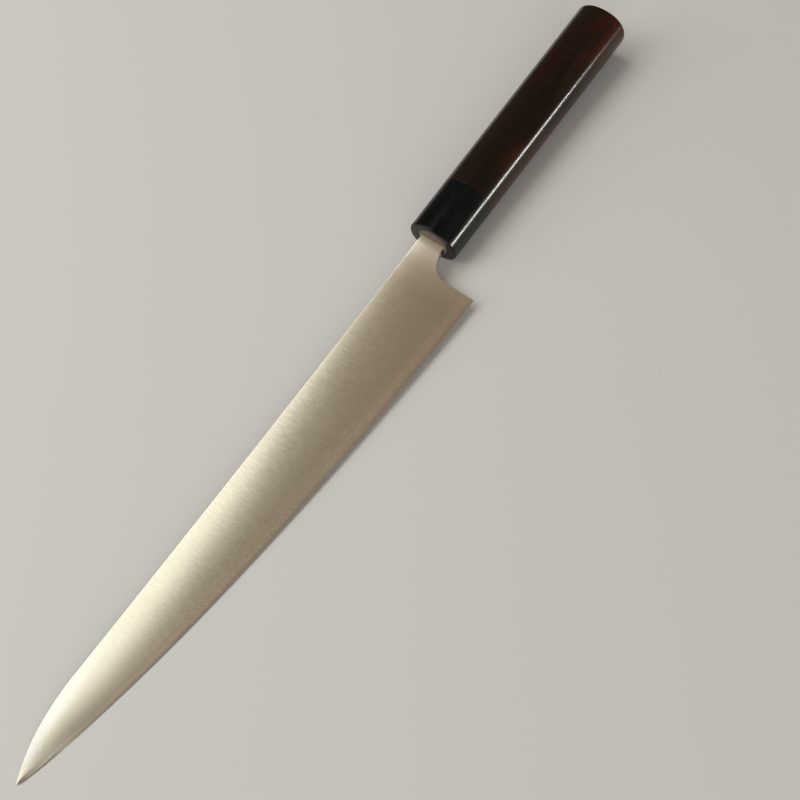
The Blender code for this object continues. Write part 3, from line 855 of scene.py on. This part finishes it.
class KNIFE_OT_core(Operator):
    """Hard middle layer, which shows as a strip along the cutting edge"""

    bl_idname = "knife.core"
    bl_label = "Blade Core"

    def execute(self, context):
        scene = context.scene
        outline = Outline(scene)
        columns = outline.columns()
        rows = 4
        shares = [k / 8 for k in range(8)] + [0.985, 1.0]

        def plate(i, j):
            low, high, _ = columns[i]
            x, y = between(low, high, j / rows)
            return Vector((x, y, outline.core_half(x)))

        def bare_edge(i, j):
            (x, top), _, ground = columns[i]
            low, bevel = ground[0], ground[2]
            if j == 0:
                return Vector((x, low, outline.b.edge_thickness / 2))
            share = shares[j - 1]
            y = mix(low + bevel, top, share)
            sunk = outline.flank(x, top, ground) - outline.core_half(x)
            return Vector((x, y, outline.flank(x, y, ground) - sunk * share))

        bm = bmesh.new()
        add_sheet(bm, len(columns) - 1, rows, plate)
        add_sheet(bm, outline.b.columns, len(shares), bare_edge)
        bmesh.ops.remove_doubles(bm, verts=bm.verts, dist=0.001 * MM)
        finish_blade(bm, outline, lambda point: -point.z)
        finishes = [steel_flank(scene, "steel_core", scene.knife_finish.core),
                    steel_rim(scene, "steel_core_rim")]
        add_piece(scene, "blade_core", bm, finishes, "core_steel")
        return {"FINISHED"}


class KNIFE_OT_cladding(Operator):
    """Softer outer layers, ground to the flanks, with a rounded spine and finger notch"""

    bl_idname = "knife.cladding"
    bl_label = "Blade Cladding"

    def execute(self, context):
        scene = context.scene
        outline = Outline(scene)
        columns = outline.columns()
        rows = outline.b.rows
        ease = outline.b.notch_ease
        fine = [ease * k for k in (0.0, 0.03, 0.09, 0.18, 0.30, 0.46, 0.70, 1.0)]
        finishes = [steel_flank(scene, "steel_cladding", scene.knife_finish.cladding),
                    steel_rim(scene, "steel_rim")]

        def outside(i, j):
            low, high, ground = columns[i]
            reach = math.dist(low, high)
            near = [d / max(reach, 2.4 * ease) for d in fine]
            middle = [mix(near[-1], 1 - near[-1], k / rows) for k in range(1, rows)]
            share = (near + middle + [1 - d for d in reversed(near)])[j]
            x, y = between(low, high, share)
            core = outline.core_half(x)
            half = outline.flank(x, y, ground)
            room = 0.7 * (outline.flank(*high, ground) - core)
            half -= rounding(max(1 - share, 0.0) * reach, min(outline.b.spine_ease, room))
            if i > outline.b.columns:
                half -= rounding(share * reach, min(ease, room))
            return Vector((x, y, max(half, core + 1.4 * outline.b.weld)))

        for side, name in ((1, "cladding_left"), (-1, "cladding_right")):
            bm = bmesh.new()
            add_sheet(bm, len(columns) - 1, 2 * len(fine) + rows - 2, outside)
            finish_blade(bm, outline, lambda point: outline.core_half(point.x) + outline.b.weld)
            if side < 0:
                bmesh.ops.scale(bm, vec=(1, 1, -1), verts=bm.verts)
            add_piece(scene, "blade_" + name, bm, finishes, name)
        return {"FINISHED"}


class KNIFE_OT_ferrule(Operator):
    """Oval horn ferrule with a rounded front rim, bored through for the dowel"""

    bl_idname = "knife.ferrule"
    bl_label = "Ferrule"

    def execute(self, context):
        scene = context.scene
        h = scene.knife_handle
        front = Outline(scene).handle_x
        back = front + h.ferrule_length - h.joint_ease / 3
        bore = h.dowel_width / 2 + h.dowel_fit
        rings = [oval(h, front, front + away, inset)
                 for away, inset in reversed(arc(h.front_ease, 8))]
        rings += [oval(h, front, mix(front, back, share)) for share in (0.2, 0.4, 0.6, 0.8)]
        rings += [oval(h, front, back - away, inset) for away, inset in arc(h.joint_ease, 3)]
        rings += [(x, radius, radius, ROUND) for x, radius in (
            (back, bore), (back - 1 * MM, bore), (front + 1 * MM, bore),
            (front + 0.15 * MM, bore), (front, bore + 0.12 * MM))]
        bm = loft(h.points, rings, closed=True)
        add_piece(scene, "horn_ferrule", bm, [horn(scene, "horn")], "ferrule")
        return {"FINISHED"}


class KNIFE_OT_body(Operator):
    """Oval rosewood body with a blind bore and a rounded butt"""

    bl_idname = "knife.body"
    bl_label = "Handle Body"

    def execute(self, context):
        scene = context.scene
        h = scene.knife_handle
        front = Outline(scene).handle_x
        start = front + h.ferrule_length
        end = front + h.handle_length
        bore = h.dowel_width / 2 + h.dowel_fit
        steps = 24
        rings = [(front + h.dowel_length + 1 * MM, bore, bore, ROUND), (start, bore, bore, ROUND)]
        rings += [oval(h, front, start + away, inset)
                  for away, inset in reversed(arc(h.joint_ease, 3))]
        rings += [oval(h, front, mix(start, end, k / steps)) for k in range(1, steps)]
        rings += [oval(h, front, end - away, inset) for away, inset in arc(h.butt_ease, 10)]
        bm = loft(h.points, rings)
        add_piece(scene, "rosewood_body", bm, [rosewood(scene, "rosewood")], "handle_body")
        return {"FINISHED"}


class KNIFE_OT_dowel(Operator):
    """Pale dowel inside the handle, slotted for neck and tang, with its end showing"""

    bl_idname = "knife.dowel"
    bl_label = "Dowel"

    def execute(self, context):
        scene = context.scene
        h, b = scene.knife_handle, scene.knife_blade
        outline = Outline(scene)
        front = outline.handle_x
        face, end = front + h.dowel_sunk, front + h.dowel_length
        chamfer, gap, neck = 0.1 * MM, 0.3 * MM, b.neck_thickness / 2
        radius = h.dowel_width / 2
        rings = [(x, radius - inset, radius - inset, ROUND) for x, inset in (
            (end, 1 * MM), (end - 1 * MM, 0), (face + chamfer, 0), (face, chamfer))]
        mouth = (outline.neck_half + h.seal_wall, neck + h.seal_wall)
        throat = (outline.neck_half + gap, neck + gap)
        slot = (b.tang_front / 2 + gap, neck + gap)
        tail = (b.tang_end / 2 + gap, b.tang_thin / 2 + gap)
        seat, shoulder = front + h.seal_depth, outline.tang_x + gap
        for x, halves in ((face, mouth), (seat, mouth), (seat, throat), (shoulder, throat),
                          (shoulder, slot), (outline.tang_end_x + gap, tail)):
            rings.append((x, *halves, SLOT, outline.neck_middle))
        bm = loft(h.points, rings)
        add_piece(scene, "dowel_end", bm, [pale_wood(scene, "pale_wood")], "tenon_dowel")
        return {"FINISHED"}


class KNIFE_OT_seal(Operator):
    """Bead of amber resin that fills the slot round the neck"""

    bl_idname = "knife.seal"
    bl_label = "Seal"

    def execute(self, context):
        scene = context.scene
        h, b = scene.knife_handle, scene.knife_blade
        outline = Outline(scene)
        front, middle = outline.handle_x, outline.neck_middle
        wall, inner, bottom = h.seal_wall - 0.01 * MM, 0.02 * MM, h.seal_depth - 0.02 * MM
        profile = ((bottom, wall), (0.1 * MM, wall), (-0.12 * MM, 0.92 * wall),
                   (-0.30 * MM, 0.68 * wall), (-0.42 * MM, 0.36 * wall), (-0.47 * MM, 0.1 * MM),
                   (-0.40 * MM, inner), (bottom, inner))
        rings = [(front + x, outline.neck_half + out, b.neck_thickness / 2 + out, SLOT, middle)
                 for x, out in profile]
        bm = loft(h.points, rings, closed=True)
        for vert in bm.verts:
            if vert.co.x < front:
                turn = math.atan2(vert.co.z, vert.co.y - middle)
                vert.co.x += 0.10 * MM * (math.sin(5 * turn + 1) * math.sin(3 * turn) + 0.4)
        add_piece(scene, "resin_seal", bm, [resin(scene, "resin")], "slot_seal")
        return {"FINISHED"}


WHITE, COOL, CREAM = (1, 0.98, 0.95), (1, 1, 0.95), (1, 0.98, 0.90)
WARM, AMBER = (1, 0.85, 0.62), (1, 0.61, 0.30)
AROUND = BLADE_PIECES + ("floor",)

# Name, setting and share of it, colour, place, size, turn in degrees, whether the lamp
# faces the knife and not the floor, and the pieces that it lights, where not all.
LAMPS = (
    ("key", "key", 1, COOL, (-0.30, 0.75, 1.50), (1.62, 1.15), 8.6, False, ()),
    ("key_end", "key", 1.7, COOL, (0.62, 0.865, 1.50), (0.24, 1.15), 8.6, False, AROUND),
    ("top", "top", 1, WARM, (-0.25, -0.10, 1.62), (1.40, 1.50), 0, False, AROUND),
    ("heel", "heel", 1, AMBER, (0.85, -0.10, 1.62), (0.80, 1.50), 0, False, AROUND),
    ("side_far", "side", 1, WHITE, (-1.15, 1.50, 1.00), (1.7, 1.7), 0, True, ()),
    ("side_near", "side", 1, WHITE, (-1.15, -1.35, 1.00), (1.7, 1.7), 0, True, ()),
    ("low", "low", 1, WHITE, (0.503, -1.163, 0.050), (0.68, 0.09), 0, True, KNIFE_PIECES),
    ("streak", "streak", 1, CREAM, (0.503, -1.163, 0.032), (0.68, 0.078), -5.5, True,
     HANDLE_PIECES),
)

# Camera against the handle's line: its place in metres, and its right and up directions
CAMERA_PLACE = (0.111614, -0.146785, 0.415955)
CAMERA_RIGHT = (0.583322, -0.808272, -0.080193)
CAMERA_UP = (0.779073, 0.528842, 0.336706)
SENSOR_WIDTH = 36.0
FLOOR_HALF = 4.0


class KNIFE_OT_stage(Operator):
    """Pale floor, soft studio light and the camera"""

    bl_idname = "knife.stage"
    bl_label = "Stage"

    def execute(self, context):
        scene = context.scene
        look = scene.knife_stage
        self.floor(scene, look.floor)
        self.world(scene, look.world)
        for lamp in LAMPS:
            self.lamp(scene, look, *lamp)
        self.camera(scene, look.lens)
        return {"FINISHED"}

    def floor(self, scene, tint):
        bm = bmesh.new()
        bmesh.ops.create_grid(bm, x_segments=1, y_segments=1, size=FLOOR_HALF)
        made, net, shader = new_material("floor", Specular_IOR_Level=0.2, Roughness=0.75)
        place = net.out("TexCoord", output="Object")
        mottle = net.noise(place, (900, 900, 900))
        base = net.blend(mottle, toned(tint, 0.985), toned(tint, 1.015))
        net.put(shader["Base Color"], base)
        floor = add_mesh(scene, "floor", bm, [made])

    def world(self, scene, strength):
        world = bpy.data.worlds.new("studio")
        world.use_nodes = True
        inputs = world.node_tree.nodes["Background"].inputs
        inputs["Color"].default_value = (1, 0.985, 0.96, 1)
        inputs["Strength"].default_value = strength
        scene.world = world

    def lamp(self, scene, look, name, setting, share, tint, place, size, turn, aimed, lit):
        """Rectangular lamp, whose setting is its brightness and not its power."""
        data = bpy.data.lights.new(name, "AREA")
        data.shape = "RECTANGLE"
        data.size, data.size_y = size
        data.energy = getattr(look, setting) * share * math.pi * size[0] * size[1]
        data.color = tint
        lamp = add_object(scene, name, data)
        lamp.location = place
        lamp.rotation_euler = (0.0, 0.0, math.radians(turn))
        if aimed:
            facing = (-Vector(place)).to_track_quat("-Z", "Y").to_matrix()
            roll = Matrix.Rotation(math.radians(turn), 3, "Z")
            lamp.rotation_euler = (facing @ roll).to_euler()
        if lit:
            group = bpy.data.collections.new("lit_by_" + name)
            for piece in lit:
                if piece in bpy.data.objects:
                    group.objects.link(bpy.data.objects[piece])
            lamp.light_linking.receiver_collection = group

    def camera(self, scene, lens):
        turn = pose(scene)
        right = turn.to_3x3() @ Vector(CAMERA_RIGHT)
        up = turn.to_3x3() @ Vector(CAMERA_UP)
        back = right.cross(up).normalized()
        up = back.cross(right).normalized()
        right.normalize()
        data = bpy.data.cameras.new("camera")
        data.lens = lens
        data.sensor_width = SENSOR_WIDTH
        data.clip_start = 10 * MM
        camera = add_object(scene, "camera", data)
        facing = Matrix((right, up, back)).transposed().to_4x4()
        camera.matrix_world = Matrix.Translation(turn @ Vector(CAMERA_PLACE)) @ facing
        scene.camera = camera


class KNIFE_PT_panel(Panel):
    """Settings and pieces of the knife"""

    bl_idname = "KNIFE_PT_panel"
    bl_label = "Slicing Knife"
    bl_space_type = "VIEW_3D"
    bl_region_type = "UI"
    bl_category = "Knife"

    def draw(self, context):
        layout = self.layout
        for group, kind in SETTINGS.items():
            box = layout.box()
            box.label(text=group)
            for setting in kind.__annotations__:
                box.prop(getattr(context.scene, group), setting)
        for step in STEPS:
            layout.operator(step.bl_idname)


SETTINGS = {
    "knife_blade": KnifeBladeSizes,
    "knife_handle": KnifeHandleSizes,
    "knife_finish": KnifeFinishes,
    "knife_stage": KnifeStageLook,
}
STEPS = (KNIFE_OT_core, KNIFE_OT_cladding, KNIFE_OT_ferrule, KNIFE_OT_body, KNIFE_OT_dowel,
         KNIFE_OT_seal, KNIFE_OT_stage)


def register():
    for cls in (*SETTINGS.values(), *STEPS, KNIFE_PT_panel):
        bpy.utils.register_class(cls)
    for name, cls in SETTINGS.items():
        setattr(bpy.types.Scene, name, PointerProperty(type=cls))


def unregister():
    for name in SETTINGS:
        delattr(bpy.types.Scene, name)
    for cls in reversed((*SETTINGS.values(), *STEPS, KNIFE_PT_panel)):
        bpy.utils.unregister_class(cls)


def main():
    register()
    scene = bpy.context.scene
    scene.view_settings.view_transform = "Standard"
    bpy.ops.knife.core()
    bpy.ops.knife.cladding()
    bpy.ops.knife.ferrule()
    bpy.ops.knife.body()
    bpy.ops.knife.dowel()
    bpy.ops.knife.seal()
    bpy.ops.knife.stage()


if __name__ == "__main__":
    main()
